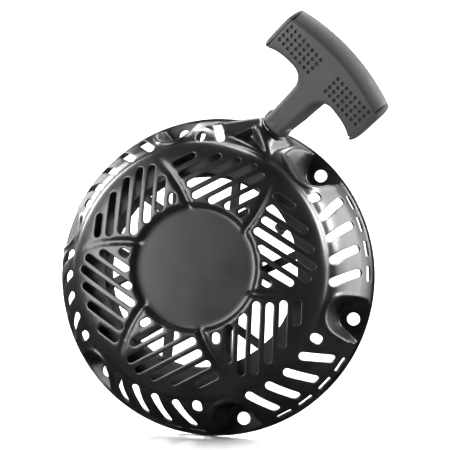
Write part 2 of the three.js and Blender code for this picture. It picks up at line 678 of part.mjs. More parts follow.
addMesh(reelGroup, "cam_plate", buildCamPlate(), BARE_STEEL);
const frictionRing = new THREE.TorusGeometry(FRICTION_RING.r, FRICTION_RING.wireR, 8, 24);
addMesh(reelGroup, "friction_spring", frictionRing.translate(0, 0, FRICTION_RING.z), SPRING_STEEL);
starter.add(reelGroup);

const handleGroup = new THREE.Group();
handleGroup.applyMatrix4(handleFrame);
addMesh(handleGroup, "rope_eyelet", upY(lathe(EYELET_PROFILE, 24)), BLACK_PAINT);
addMesh(handleGroup, "handle_body", buildHandle(), GREY_PLASTIC);
addMesh(handleGroup, "handle_end_cap_left", buildEndCap(-1), GREY_PLASTIC);
addMesh(handleGroup, "handle_end_cap_right", buildEndCap(1), GREY_PLASTIC);
addMesh(handleGroup, "knot_cover", buildKnotCover(), GREY_PLASTIC);
const knotWasher = upY(ring(KNOT_WASHER.inner, KNOT_WASHER.outer, KNOT_POCKET.from + GAP, KNOT_WASHER.to, 20));
addMesh(handleGroup, "knot_washer", knotWasher, BARE_STEEL);
addMesh(handleGroup, "rope_knot", new THREE.SphereGeometry(KNOT.r, 12, 8).translate(0, KNOT.along, 0), ROPE_FIBRE);
const ropePull = upY(disc(ROPE_R, ROPE_PULL.from, ROPE_PULL.to, ROPE_PULL.sides));
addMesh(handleGroup, "rope_pull", ropePull, ROPE_FIBRE);
starter.add(handleGroup);

// The crank axis lies along Y with the front towards -Y, and the top is +Z.
const upright = new THREE.Group();
upright.rotation.x = Math.PI / 2;
upright.add(starter);

export default upright;
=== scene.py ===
"""Looks of the recoil starter: pressed housing, reel, rope and T-handle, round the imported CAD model.

Shapes are worked out in millimetres in the starter's front frame: X right, Y up, Z out of the front along the
crank axis, Z = 0 on the mounting plane. front() turns such points into the frame's own metres.
"""
import math

import bmesh
import bpy
import numpy as np
from mathutils import Matrix, Vector
from mathutils.geometry import delaunay_2d_cdt
from mathutils.kdtree import KDTree


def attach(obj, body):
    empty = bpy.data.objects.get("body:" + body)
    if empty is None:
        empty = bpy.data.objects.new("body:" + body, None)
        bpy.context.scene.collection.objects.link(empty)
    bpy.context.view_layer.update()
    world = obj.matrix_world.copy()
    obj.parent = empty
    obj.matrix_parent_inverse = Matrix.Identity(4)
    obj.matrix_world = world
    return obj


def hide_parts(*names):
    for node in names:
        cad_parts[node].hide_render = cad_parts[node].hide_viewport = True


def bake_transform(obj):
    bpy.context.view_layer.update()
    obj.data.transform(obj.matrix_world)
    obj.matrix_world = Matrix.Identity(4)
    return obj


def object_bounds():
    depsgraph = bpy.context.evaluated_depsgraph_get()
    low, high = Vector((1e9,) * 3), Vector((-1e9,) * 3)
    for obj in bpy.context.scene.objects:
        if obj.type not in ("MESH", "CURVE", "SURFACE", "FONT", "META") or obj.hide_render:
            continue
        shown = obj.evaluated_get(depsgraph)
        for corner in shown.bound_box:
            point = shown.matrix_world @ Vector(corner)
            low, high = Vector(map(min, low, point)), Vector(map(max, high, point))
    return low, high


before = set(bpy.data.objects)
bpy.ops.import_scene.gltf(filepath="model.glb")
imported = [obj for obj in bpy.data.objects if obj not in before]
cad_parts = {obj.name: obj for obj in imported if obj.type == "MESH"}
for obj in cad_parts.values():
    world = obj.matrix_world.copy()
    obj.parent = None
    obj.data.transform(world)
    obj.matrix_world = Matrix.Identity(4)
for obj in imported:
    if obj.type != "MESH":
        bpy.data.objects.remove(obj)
CAD_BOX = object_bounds()

MM = 0.001
TURN = 2 * math.pi

# Housing, mm
SHEET = 1.5
SECTORS = 6
SECTOR = TURN / SECTORS
FIRST_BOLT = math.radians(45)
BOLT_CIRCLE_R = 89.5
BOLT_HOLE_R = 3.75
FLANGE_R = 98.3
PROFILE = [  # radius, height
    (0, 63.8), (12, 63.8), (24, 63.8), (31.6, 63.8),  # medallion
    (33.0, 63.95), (34.6, 65.1), (35.6, 65.85), (36.6, 66.02),  # its raised edge
    (39, 65.9), (50, 64.6), (62, 61.7), (67.5, 59.4), (70, 57.9),  # domed face
    (71.6, 56.2), (72.6, 54.6), (73.6, 53.6), (76, 51.6),  # shoulder
    (81, 44.8), (86, 34.6), (90, 25.4), (92, 19), (94, 12), (95.5, 5.6),  # skirt
    (96.0, 3.2), (96.9, 1.8), (FLANGE_R, SHEET),
]
PROFILE_STEPS = 12
FAR = 1e9

# Punched slots, repeated in each sector
FACE_SLOT_W = 4
FACE_SLOTS = [  # distance from the sector's axis, then start and end along that axis
    (-57.2, 14.7, 28.5), (-49.8, 15.5, 41), (-42.5, 17, 49.7), (-35.3, 16.8, 55.8),
    (-28.3, 23.5, 57), (-21.3, 30, 50.5), (-14.3, 34.5, 40.7),
]
SKIRT_SLOT_W = 4.4
SKIRT_SLOT_R = (75.6, 88.6)
SKIRT_SLOTS = [(-21.5, -16.6), (-30.9, -26.4), (-40.2, -35.6), (-49.5, -44.6)]  # degrees at the two ends
SHORT_SLOT = {"r": 76.3, "angle": -12.4, "length": 7, "width": 5}
SLITS = (-17.2, -25.9, -35.1, -44.2)
SLIT_HEIGHTS = (4.3, 13.3)
SLIT = {"length": 9, "at": 95, "corner": 1}
SKIRT_NUDGE = 1.6  # extra degrees for the first sector's skirt slots
OUTLET_SECTOR = 1
EDGE = {"rows": (0.35, 0.85), "reach": 0.8, "roll": 0.34}  # how far a slot's edge rolls in

# Swept grooves
GROOVE = {
    "start": math.radians(39.5), "sweep": math.radians(0.446), "from": 36,
    "half": 2.7, "depth": 2.3,
    "begin": 32.8, "ease": 2.5,  # the depth grows from this radius over this length
    "gone": 67, "fade": 31, "power": 0.7,  # and fades towards this radius over this length
}

# Pockets round the bolt holes, and the bead along their edges
POCKET = {"centre": 88.5, "r": 9, "flare": math.radians(27), "rise": 13.2, "inner": 60, "ease": 0.8}
POCKET_BLEND = {"share": 0.14, "least": 0.5, "most": 5}  # rounding of the edge, as a share of its height
LIP = {"height": 0.9, "from_edge": 1.2, "width": 1.2, "full_at": 20, "most": 1.6}

# Rope outlet
OUTLET_CORNERS = [
    (0, 84, 42), (0, 89.5, 26), (0, 95, 4), (14, 72, 53), (35, 62, 53), (51, 76, 6), (24, 93, 4),
    (0, 40, 0), (40, 40, 0), (20, 40, 45),
]
OUTLET_AREA = {"left": -6, "right": 62, "low": 50}
OUTLET_ROUNDING = {"edges": 1.6, "foot": 2.5}
OUTLET_FLANK = (  # the first pocket's wall: angle about the pocket, then its rise there
    (84, 100, 119, 142, 170), (3.3, 3.9, 5, 9.4, 13.2),
)
OUTLET_WEB = ((29.5, 82), (38, 64.5), 3.6)
OUTLET_THROAT = ((43, 66), (42, 77), 6)
OUTLET_HOLLOW = ((12, 76.5), (36, 65), (27.5, 83))
OUTLET_RELIEF = {"web": 1.3, "throat": 3.5, "hollow": 6, "hollow_slope": 4.5}

# Spacing of the shell's mesh
GRID = {"coarse": 1.7, "clear": 0.55}
GRID_BANDS = ((32, 37.4, 0.4), (71, 84, 0.6))  # from, to and spacing along the profile
RIM_BAND = (5, 0.45)
POCKET_ROWS = (
    -3, -1.6, -0.8, -0.4, -0.15, 0.05, 0.25, 0.5, 0.8, 1.1, 1.5, 1.9, 2.3, 2.7, 3.1, 3.5, 4, 4.6, 5.4,
)
POCKET_STEP = 0.8
POCKET_REACH = 16
POCKET_ARC = 44

# Rope line, mm
SEAT = np.array([36.8, 82.8, 43.4])
PULL = np.array([0.69121, 0.58619, 0.42262])
ACROSS = np.array([0.68414, -0.71917, -0.12143])
HANDLE_FRONT = np.cross(ACROSS, PULL)
SEAT_R = 9.6
ROPE_BORE_R = 5.3
ROPE_R = 2.0

# Handle, in its own frame: X across, Y out along the pull, Z to its front
GRIP = {"half": 33.8, "thick": 11, "crest": 57.8, "bulge": 6, "droop": 0.0042, "under": 36.8, "tip": 5}
GRIP_FROM = 30
THINNER_ENDS = 0.12
STEM_SIDE = [
    (6.1, 3.0), (6.2, 8), (6.5, 16), (7.0, 28.5), (8.1, 32.2), (10.2, 34.9), (13.4, 36.5), (17, 36.9),
]
STEM_DEPTHS = ((2, 16, 28.5, 34, 40), (8.3, 9.0, 9.5, 10.1, GRIP["thick"]))  # place, half thickness
STEM_FLARE = ((2, 16, 28.5, 32.6, 36, 40), (1.7, 2.7, 2.8, 2.4, 1.0, 0))  # place, extra width at the back
FILLET = {"foot": 0.3, "under": 2.2, "end": 0.25, "crest": 0.45}
DIMPLE = {"r": 1.05, "depth": 1.3, "rows": 4, "columns": 8}
DIMPLE_FIELD = {"inner": 7.0, "outer": 31.0, "low": 41.6, "high": 51.2}
COLLAR_SECTION = [
    (2.7, 2.1), (7.9, 2.1), (8.5, 2.4), (8.8, 3.1), (8.8, 6.2),
    (8.5, 7.2), (7.6, 8.1), (6.4, 8.5), (2.7, 8.5),
]
END_CORNER_R = 3
END_CAP = [  # distance beyond the grip's end, the section's scale there
    (0.12, 0.985), (0.3, 1.0), (1.0, 1.0), (1.6, 0.965), (2.1, 0.91), (2.5, 0.84), (2.8, 0.75),
]

# Rope
COIL = {"layers": (64.2, 60.3), "back": 37.5, "front": 45.5, "turns": 3, "steps": 90}
LEAD = {"r": 68.5, "height": 42, "stop": -7.6}
STRETCH = (-5.5, 5)  # the rope between these places on the pull line lengthens as the handle is pulled
ROPE_END = 39.8
REEL_KNOT = (44.34, 25.6, 42)
KNOT_R = {"reel_knot": 4, "rope_knot": 4.2}
KNOT_ALONG = 44.4

# Studio, metres and watts
CAMERA = {
    "place": (0.0922, -0.5194, -0.0245), "lens": 67.78, "near": 0.02,
    "right": (0.98566, 0.15992, 0.05404), "up": (-0.03627, -0.11205, 0.99304),
}
FLOOR = {"half": 4, "front": -2.5, "back": 1.2, "curve": 0.6, "rise": 3.0}
WORLD_STRENGTH = 0.01
LIGHTS = [  # name, place, target, size, power
    ("key_left", (-0.66, -0.85, 0.13), (0, 0, 0), (0.75, 0.9), 19),
    ("right_side", (0.75, 0.42, 0.25), (0, 0, 0.02), (0.7, 0.8), 6.5),
    ("left_side", (-0.7, 0.62, 0.3), (0, 0, 0.0), (0.5, 0.5), 1.6),
    ("top", (0.2, 0.1, 0.9), (0, 0, 0), (0.5, 0.4), 7),
    ("back_fill", (0.0, 1.0, 1.2), (0, 0, 0), (0.8, 0.5), 9),
    ("backdrop_left", (-1.5, 0.3, 0.9), (-0.4, 1.8, 0.4), (1.0, 1.0), 75),
    ("backdrop_right", (1.5, 0.3, 0.9), (0.4, 1.8, 0.4), (1.0, 1.0), 75),
]
EDGE_BEVEL = {"width": 0.25, "segments": 2, "angle": math.radians(40)}


# --- small helpers ---

def front(points):
    """Front-frame millimetres as frame metres."""
    p = np.asarray(points, float)
    return np.stack([p[..., 0], -p[..., 2], p[..., 1]], -1) * MM


def on_handle(points):
    """Handle-frame millimetres (X across, Y along the pull, Z to the handle's front) as front-frame ones."""
    p = np.asarray(points, float)
    return SEAT + p[..., :1] * ACROSS + p[..., 1:2] * PULL + p[..., 2:] * HANDLE_FRONT


def new_object(name, points, faces, material):
    """A smooth mesh object from frame points in metres."""
    mesh = bpy.data.meshes.new(name)
    mesh.from_pydata([tuple(p) for p in points], [], [tuple(int(i) for i in f) for f in faces])
    mesh.validate()
    mesh.polygons.foreach_set("use_smooth", [True] * len(mesh.polygons))
    mesh.materials.append(material)
    made = bpy.data.objects.new(name, mesh)
    bpy.context.scene.collection.objects.link(made)
    return made


def ring_faces(count, rows, closed=False):
    """Quads between rows of ring points. When closed, the last row joins the first."""
    total = count * rows
    faces = []
    for i in range(rows if closed else rows - 1):
        for k in range(count):
            a, b = i * count + k, i * count + (k + 1) % count
            faces.append((a, b, (b + count) % total, (a + count) % total))
    return faces


def smooth_min(a, b, k):
    h = np.clip(0.5 + 0.5 * (b - a) / k, 0, 1)
    return b * (1 - h) + a * h - k * h * (1 - h)


def smooth_max(a, b, k):
    return -smooth_min(-a, -b, k)


def bell(t):
    """1 at 0, falling smoothly to 0 at 1 and beyond."""
    return (np.cos(np.clip(t, 0, 1) * math.pi) + 1) / 2


def polar(r, angle):
    return np.stack([r * np.cos(angle), r * np.sin(angle)], -1)


def capsule(start, end, width, steps=8):
    """Outline of a slot with round ends."""
    start, end = np.array(start, float), np.array(end, float)
    heading = math.atan2(*(end - start)[::-1])
    angles = np.linspace(-math.pi / 2, math.pi / 2, steps + 1)
    side = 1 + int(np.linalg.norm(end - start) / 1.6)
    caps = [end + polar(width / 2, heading + angles), start + polar(width / 2, heading + math.pi + angles)]
    outline = []
    for cap, other in (caps, caps[::-1]):
        outline.extend(cap)
        run = np.linspace(0, 1, side + 1)[1:-1, None]
        outline.extend(cap[-1] + (other[0] - cap[-1]) * run)
    return np.array(outline)


def grown(outline, distance):
    """A closed anticlockwise outline moved outwards."""
    ahead = np.roll(outline, -1, 0) - outline
    normal = np.stack([ahead[:, 1], -ahead[:, 0]], -1)
    normal /= np.linalg.norm(normal, axis=1, keepdims=True)
    normal = normal + np.roll(normal, 1, 0)
    normal /= np.linalg.norm(normal, axis=1, keepdims=True)
    return outline + normal * distance


def inside(points, outline):
    """Which points lie in a closed outline."""
    found = np.zeros(len(points), bool)
    x, y = points[:, 0], points[:, 1]
    for (ax, ay), (bx, by) in zip(outline, np.roll(outline, -1, 0)):
        crosses = (ay > y) != (by > y)
        reach = ax + (y - ay) * (bx - ax) / (by - ay if by != ay else 1e-12)
        found ^= crosses & (x < reach)
    return found


def distance_to(points, outline):
    """Shortest distance from each point to a closed outline's edges."""
    best = np.full(len(points), 1e9)
    for a, b in zip(outline, np.roll(outline, -1, 0)):
        ab = b - a
        t = np.clip((points - a) @ ab / (ab @ ab), 0, 1)
        best = np.minimum(best, np.linalg.norm(points - a - t[:, None] * ab, axis=1))
    return best


def triangulate(outlines, loose, clear):
    """Triangles over closed outlines, which are kept as edges, and loose points that stay clear of them."""
    fixed = np.concatenate(outlines)
    edges, base = [], 0
    for outline in outlines:
        n = len(outline)
        edges += [(base + i, base + (i + 1) % n) for i in range(n)]
        base += n
    tree = KDTree(len(fixed))
    for i, p in enumerate(fixed):
        tree.insert((p[0], p[1], 0), i)
    tree.balance()
    kept = [p for p in loose if tree.find((p[0], p[1], 0))[2] > clear]
    verts = [Vector(p) for p in fixed] + [Vector(p) for p in kept]
    out, _, faces, *_ = delaunay_2d_cdt(verts, edges, [], 0, 1e-5)
    return np.array([tuple(p) for p in out]), np.array([tuple(f) for f in faces])


# --- materials ---

def node_material(name, base, roughness, metallic=0.0):
    material = bpy.data.materials.new(name)
    material.use_nodes = True
    tree = material.node_tree
    shader = tree.nodes["Principled BSDF"]
    shader.inputs["Base Color"].default_value = (*base, 1)
    shader.inputs["Roughness"].default_value = roughness
    shader.inputs["Metallic"].default_value = metallic
    return material, tree, shader


def noise(tree, scale, detail=3.0, rough=0.5, coords="Object", stretch=None):
    place = tree.nodes.new("ShaderNodeTexCoord").outputs[coords]
    if stretch:
        mapping = tree.nodes.new("ShaderNodeMapping")
        mapping.inputs["Scale"].default_value = stretch
        tree.links.new(place, mapping.inputs["Vector"])
        place = mapping.outputs["Vector"]
    texture = tree.nodes.new("ShaderNodeTexNoise")
    texture.inputs["Scale"].default_value = scale
    texture.inputs["Detail"].default_value = detail
    texture.inputs["Roughness"].default_value = rough
    tree.links.new(place, texture.inputs["Vector"])
    return texture.outputs["Fac"]


def ramp(tree, factor, low, high, start=0.35, end=0.65):
    """A grey or coloured ramp between two values or colours."""
    node = tree.nodes.new("ShaderNodeValToRGB")
    for stop, place, value in zip(node.color_ramp.elements, (start, end), (low, high)):
        stop.position = place
        stop.color = (*value, 1) if hasattr(value, "__len__") else (value, value, value, 1)
    tree.links.new(factor, node.inputs["Fac"])
    return node.outputs["Color"]


def bump(tree, shader, height, strength, distance, before=None):
    node = tree.nodes.new("ShaderNodeBump")
    node.inputs["Strength"].default_value = strength
    node.inputs["Distance"].default_value = distance
    tree.links.new(height, node.inputs["Height"])
    if before:
        tree.links.new(before, node.inputs["Normal"])
    tree.links.new(node.outputs["Normal"], shader.inputs["Normal"])
    return node.outputs["Normal"]


def mix(tree, factor, a, b):
    """Colour a where the factor is 0 and b where it is 1."""
    node = tree.nodes.new("ShaderNodeMix")
    node.data_type = "RGBA"
    tree.links.new(factor, node.inputs["Factor"])
    for socket, value in ((node.inputs[6], a), (node.inputs[7], b)):
        if hasattr(value, "is_linked"):
            tree.links.new(value, socket)
        else:
            socket.default_value = (*value, 1)
    return node.outputs[2]


def black_paint():
    material, tree, shader = node_material("black_paint", (0.008, 0.008, 0.008), 0.36)
    cloud = noise(tree, 60, 4)
    colour = ramp(tree, cloud, (0.006, 0.006, 0.0065), (0.010, 0.010, 0.0105))
    # Lighter paint along the slots' punched edges, from the 'edge' attribute: a painted highlight on their
    # rolled edges, not wear.
    attribute = tree.nodes.new("ShaderNodeAttribute")
    attribute.attribute_name = "edge"
    painted_edge_highlight = mix(tree, attribute.outputs["Fac"], colour, (0.03, 0.03, 0.031))
    tree.links.new(painted_edge_highlight, shader.inputs["Base Color"])
    tree.links.new(ramp(tree, noise(tree, 90, 2, 0.5), 0.31, 0.37), shader.inputs["Roughness"])
    shader.inputs["Coat Weight"].default_value = 0.25
    shader.inputs["Coat Roughness"].default_value = 0.22
    bump(tree, shader, noise(tree, 900, 2, 0.5), 0.12, 0.0002)
    return material


def moulded_plastic(name, dark, light, rough=(0.5, 0.66), grain=0.35):
    material, tree, shader = node_material(name, dark, 0.6)
    tree.links.new(ramp(tree, noise(tree, 45, 5, 0.6), dark, light), shader.inputs["Base Color"])
    tree.links.new(ramp(tree, noise(tree, 700, 3), *rough), shader.inputs["Roughness"])
    bump(tree, shader, noise(tree, 2600, 2, 0.6), grain, 0.00025)
    return material


def bright_steel(name, dark, light, rough=(0.24, 0.4), brushed=(1, 1, 1)):
    material, tree, shader = node_material(name, light, 0.3, 0.75)
    streaks = noise(tree, 500, 6, 0.65, stretch=brushed)
    tree.links.new(ramp(tree, streaks, dark, light), shader.inputs["Base Color"])
    tree.links.new(ramp(tree, noise(tree, 90, 4), *rough), shader.inputs["Roughness"])
    bump(tree, shader, streaks, 0.15, 0.0001)
    return material


def braided_rope():
    material, tree, shader = node_material("rope_fibre", (0.05, 0.052, 0.06), 0.9)
    place = tree.nodes.new("ShaderNodeTexCoord").outputs["Object"]
    cells = tree.nodes.new("ShaderNodeTexVoronoi")
    cells.inputs["Scale"].default_value = 900
    tree.links.new(place, cells.inputs["Vector"])
    colour = ramp(tree, cells.outputs["Distance"], (0.085, 0.088, 0.096), (0.018, 0.019, 0.022), 0.1, 0.7)
    fleck = ramp(tree, noise(tree, 300, 2), 0.0, 1.0, 0.6, 0.68)
    tree.links.new(mix(tree, fleck, colour, (0.16, 0.16, 0.17)), shader.inputs["Base Color"])
    shader.inputs["Sheen Weight"].default_value = 0.3
    bump(tree, shader, cells.outputs["Distance"], 0.6, 0.0004)
    return material


PAINT = black_paint()
HANDLE_PLASTIC = moulded_plastic("handle_plastic", (0.026, 0.027, 0.0285), (0.036, 0.037, 0.039))
REEL_PLASTIC = moulded_plastic("reel_plastic", (0.012, 0.012, 0.013), (0.024, 0.024, 0.026), (0.34, 0.5), 0.2)
BUSH_PLASTIC = moulded_plastic("bush_plastic", (0.62, 0.57, 0.46), (0.74, 0.7, 0.6), (0.4, 0.55), 0.15)
ROPE_FIBRE = braided_rope()
BARE_STEEL = bright_steel("bare_steel", (0.56, 0.57, 0.58), (0.66, 0.67, 0.68), (0.3, 0.42))
SPRING_STEEL = bright_steel("spring_steel", (0.16, 0.17, 0.19), (0.34, 0.35, 0.37), (0.2, 0.34))


# --- housing ---

def curve_through(points, steps):
    """Catmull-Rom curve through the points, steps to a span."""
    p = np.array(points, float)
    padded = np.concatenate([[2 * p[0] - p[1]], p, [2 * p[-1] - p[-2]]])
    out = []
    for a, b, c, d in zip(padded, padded[1:], padded[2:], padded[3:]):
        for t in np.arange(steps) / steps:
            out.append(0.5 * (2 * b + (c - a) * t + (2 * a - 5 * b + 4 * c - d) * t ** 2
                              + (3 * b - a - 3 * c + d) * t ** 3))
    return np.array(out + [p[-1]])


def monotone(points, steps):
    """Smooth height over radius whose tangents never overshoot, as a table of radius and height."""
    r, z = np.array(points, float).T
    slope = np.diff(z) / np.diff(r)
    tangent = np.zeros(len(r))
    both = slope[:-1] * slope[1:] > 0
    tangent[1:-1] = np.where(both, 2 * slope[:-1] * slope[1:] / np.where(both, slope[:-1] + slope[1:], 1), 0)
    tangent[-1] = slope[-1]
    table = []
    for i in range(len(r) - 1):
        h = r[i + 1] - r[i]
        for t in np.arange(steps) / steps:
            table.append((r[i] + t * h,
                          z[i] * (1 + 2 * t) * (1 - t) ** 2 + tangent[i] * h * t * (1 - t) ** 2
                          + z[i + 1] * t * t * (3 - 2 * t) + tangent[i + 1] * h * t * t * (t - 1)))
    return np.array(table + [(r[-1], z[-1])])


TABLE = monotone(PROFILE, PROFILE_STEPS)
ALONG = np.concatenate([[0], np.cumsum(np.hypot(*np.diff(TABLE, axis=0).T))])
REACH = ALONG[-1]


def unrolled(plan):
    """Plan points (x, y) on the plane where the radius is the length along the profile."""
    plan = np.asarray(plan, float)
    r = np.maximum(np.hypot(plan[:, 0], plan[:, 1]), 1e-9)
    return plan * (np.interp(r, TABLE[:, 0], ALONG) / r)[:, None]


def rolled(flat):
    s = np.maximum(np.hypot(flat[:, 0], flat[:, 1]), 1e-9)
    return flat * (np.interp(s, ALONG, TABLE[:, 0]) / s)[:, None]


def pocket_distance(x, y):
    """Distance from a mounting pocket's floor outline, in the frame of that hole's radius."""
    x, y = x - POCKET["centre"], np.abs(y)
    ca, sa = math.cos(POCKET["flare"]), math.sin(POCKET["flare"])
    line = y * ca - x * sa - POCKET["r"]
    disc = np.hypot(x, y) - POCKET["r"]
    return np.where(x * ca + y * sa > 0, line, disc)


def hull_planes(corners):
    """Upward-facing planes (normal, offset) of the convex hull of some points."""
    bm = bmesh.new()
    for p in corners:
        bm.verts.new(p)
    bmesh.ops.convex_hull(bm, input=bm.verts[:])
    bm.normal_update()
    planes = {}
    for f in bm.faces:
        n = f.normal
        if n.z > 0.02:
            planes[tuple(round(c, 2) for c in n)] = (np.array(n), n.dot(f.verts[0].co))
    bm.free()
    return list(planes.values())


def outlet_planes():
    seat = [SEAT + SEAT_R * (math.cos(a) * ACROSS + math.sin(a) * HANDLE_FRONT)
            for a in np.linspace(0, TURN, 12, endpoint=False)]
    return hull_planes([tuple(p) for p in seat] + OUTLET_CORNERS)


OUTLET = outlet_planes()


def groove_depth(r, angle, sector):
    """How far one swept groove dips."""
    centre = GROOVE["start"] + GROOVE["sweep"] * (r - GROOVE["from"]) + sector * SECTOR
    off = (angle - centre + math.pi) % TURN - math.pi
    across = np.abs(off) * r / np.hypot(1, r * GROOVE["sweep"])
    fade = np.clip((GROOVE["gone"] - r) / GROOVE["fade"], 0, 1) ** GROOVE["power"]
    fade = fade * np.clip((r - GROOVE["begin"]) / GROOVE["ease"], 0, 1)
    return GROOVE["depth"] * fade * bell(across / GROOVE["half"])


def hump(plan, start, end, half):
    """1 on the line from start to end, falling smoothly to 0 at half a width away."""
    a, b = np.array(start, float), np.array(end, float)
    t = np.clip((plan - a) @ (b - a) / ((b - a) @ (b - a)), 0, 1)
    return bell(np.linalg.norm(plan - a - t[:, None] * (b - a), axis=1) / half)


def outlet_relief(plan):
    """Raised web and two hollows in front of the rope outlet."""
    corners = np.array(OUTLET_HOLLOW)
    depth = np.full(len(plan), FAR)
    for a, b in zip(corners, np.roll(corners, -1, 0)):
        side = np.array([-(b - a)[1], (b - a)[0]]) / np.linalg.norm(b - a)
        depth = np.minimum(depth, (plan - a) @ side)
    t = np.clip(depth / OUTLET_RELIEF["hollow_slope"], 0, 1)
    hollow = OUTLET_RELIEF["hollow"] * t * t * (3 - 2 * t)
    raised = OUTLET_RELIEF["web"] * hump(plan, *OUTLET_WEB)
    return raised - OUTLET_RELIEF["throat"] * hump(plan, *OUTLET_THROAT) - hollow


def with_outlet(z, plan):
    """The shell's height with the rope outlet's block raised from it."""
    x, y = plan[:, 0], plan[:, 1]
    block = np.full(len(plan), FAR)
    for normal, offset in OUTLET:
        plane = (offset - normal[0] * x - normal[1] * y) / normal[2]
        block = smooth_min(block, plane, OUTLET_ROUNDING["edges"])
    block = block + outlet_relief(plan)
    near = (x > OUTLET_AREA["left"]) & (y > OUTLET_AREA["low"]) & (x < OUTLET_AREA["right"])
    return np.where(near, smooth_max(z, block, OUTLET_ROUNDING["foot"]), z)


def with_pocket(z, plan, sector):
    """The shell's height with one bolt pocket pressed into it and a bead along the pocket's edge."""
    x, y = plan[:, 0], plan[:, 1]
    turn = FIRST_BOLT + sector * SECTOR
    c, s = math.cos(turn), math.sin(turn)
    along, across = x * c + y * s, y * c - x * s
    d = pocket_distance(along, across)
    rise = POCKET["rise"]
    if sector == 0:
        about = np.degrees(np.arctan2(across, along - POCKET["centre"]))
        rise = np.where(across > 0, np.interp(about, *OUTLET_FLANK), rise)
    wall = SHEET + rise * (d + np.hypot(d, POCKET["ease"])) / 2
    from_edge = d - (z - SHEET) / rise
    bead = LIP["height"] * np.exp(-((from_edge - LIP["from_edge"]) / LIP["width"]) ** 2)
    on_wall = along > POCKET["inner"]
    bead = np.where(on_wall, bead * np.clip(z / LIP["full_at"], 0, LIP["most"]), 0)
    rounding = np.clip(POCKET_BLEND["share"] * z, POCKET_BLEND["least"], POCKET_BLEND["most"])
    return smooth_min(z, np.where(on_wall, wall, FAR), rounding) + bead


def height(plan):
    """Height of the housing's outer skin over plan points."""
    r, angle = np.hypot(*plan.T), np.arctan2(plan[:, 1], plan[:, 0])
    z = np.interp(r, TABLE[:, 0], TABLE[:, 1])
    for sector in range(SECTORS):
        z = z - groove_depth(r, angle, sector)
    z = with_outlet(z, plan)
    for sector in range(SECTORS):
        z = with_pocket(z, plan, sector)
    return np.maximum(z, SHEET)


def slot_outlines():
    """Every punched slot as an outline on the unrolled plane."""
    outlines = []
    for i in range(SECTORS):
        turn = i * SECTOR
        spin = np.array([[math.cos(turn), math.sin(turn)], [-math.sin(turn), math.cos(turn)]])
        half = FACE_SLOT_W / 2
        for off, low, high in FACE_SLOTS:
            outlines.append(unrolled(capsule((off, low + half), (off, high - half), FACE_SLOT_W) @ spin))
        base = math.degrees(FIRST_BOLT + turn) + (SKIRT_NUDGE if i == 0 else 0)
        slots = SKIRT_SLOTS[:1] if i == OUTLET_SECTOR else SKIRT_SLOTS
        for ends in slots:
            start, end = (polar(r, math.radians(base + a)) for r, a in zip(SKIRT_SLOT_R, ends))
            outlines.append(unrolled(capsule(start, end, SKIRT_SLOT_W)))
        middle = math.radians(base + SHORT_SLOT["angle"])
        reach = (SHORT_SLOT["length"] - SHORT_SLOT["width"]) / 2
        start, end = (polar(SHORT_SLOT["r"] + x, middle) for x in (-reach, reach))
        outlines.append(unrolled(capsule(start, end, SHORT_SLOT["width"])))
        if i != OUTLET_SECTOR:
            outlines += [slit_outline(math.radians(base + angle)) for angle in SLITS]
        hole = polar(BOLT_CIRCLE_R, FIRST_BOLT + turn) + polar(BOLT_HOLE_R, np.linspace(0, TURN, 33)[:-1])
        outlines.append(unrolled(hole))
    ring = np.linspace(0, TURN, 33)[:-1, None]
    bore = SEAT + ROPE_BORE_R * (np.cos(ring) * ACROSS + np.sin(ring) * HANDLE_FRONT)
    outlines.append(unrolled(bore[::-1, :2]))
    return [o if signed_area(o) > 0 else o[::-1] for o in outlines]


def slit_outline(angle):
    """One lower slit: a rounded rectangle across the skirt."""
    high, low = (np.interp(-z, -TABLE[:, 1], ALONG) for z in reversed(SLIT_HEIGHTS))
    mid, half = (low + high) / 2, abs(low - high) / 2
    wide = SLIT["length"] / 2 * mid / SLIT["at"]
    r = SLIT["corner"]
    corner = np.linspace(0, math.pi / 2, 4)
    points = []
    for k, (sx, sy) in enumerate(((1, 1), (-1, 1), (-1, -1), (1, -1))):
        for a in corner + k * math.pi / 2:
            points.append((mid + sx * (half - r) + r * math.cos(a), sy * (wide - r) + r * math.sin(a)))
    c, s = math.cos(angle), math.sin(angle)
    return np.array([(x * c - y * s, x * s + y * c) for x, y in points])


def signed_area(outline):
    x, y = outline.T
    return float(np.sum(x * np.roll(y, -1) - y * np.roll(x, -1))) / 2


def pocket_rings():
    """Points in rows along the steep walls of the six mounting pockets."""
    points = []
    ca, sa = math.cos(POCKET["flare"]), math.sin(POCKET["flare"])
    for d in POCKET_ROWS:
        r = POCKET["r"] + d
        start = math.pi / 2 + POCKET["flare"]
        arc = np.linspace(start, TURN - start, POCKET_ARC)
        rows = list(polar(r, arc) + (POCKET["centre"], 0))
        for t in np.arange(POCKET_STEP, POCKET_REACH, POCKET_STEP):
            for side in (1, -1):
                rows.append((POCKET["centre"] - sa * r + ca * t, side * (ca * r + sa * t)))
        points += rows
    points = np.array(points)
    points = points[np.hypot(*points.T) < FLANGE_R - 0.3]
    rings = []
    for i in range(SECTORS):
        turn = FIRST_BOLT + i * SECTOR
        spin = np.array([[math.cos(turn), math.sin(turn)], [-math.sin(turn), math.cos(turn)]])
        rings.append(unrolled(points @ spin))
    return np.concatenate(rings)


def face_rows():
    """Loose points in circles, closer together where the profile bends."""
    fine = [*GRID_BANDS, (REACH - RIM_BAND[0], REACH, RIM_BAND[1])]
    levels, s = [], 2.0
    while s < REACH - 0.3:
        levels.append(s)
        s += next((step for low, high, step in fine if low <= s < high), GRID["coarse"])
    points = [np.zeros((1, 2))]
    for k, s in enumerate(levels):
        count = max(8, int(TURN * s / GRID["coarse"]))
        points.append(polar(s, (np.arange(count) + 0.5 * (k % 2)) * TURN / count))
    return np.concatenate(points)


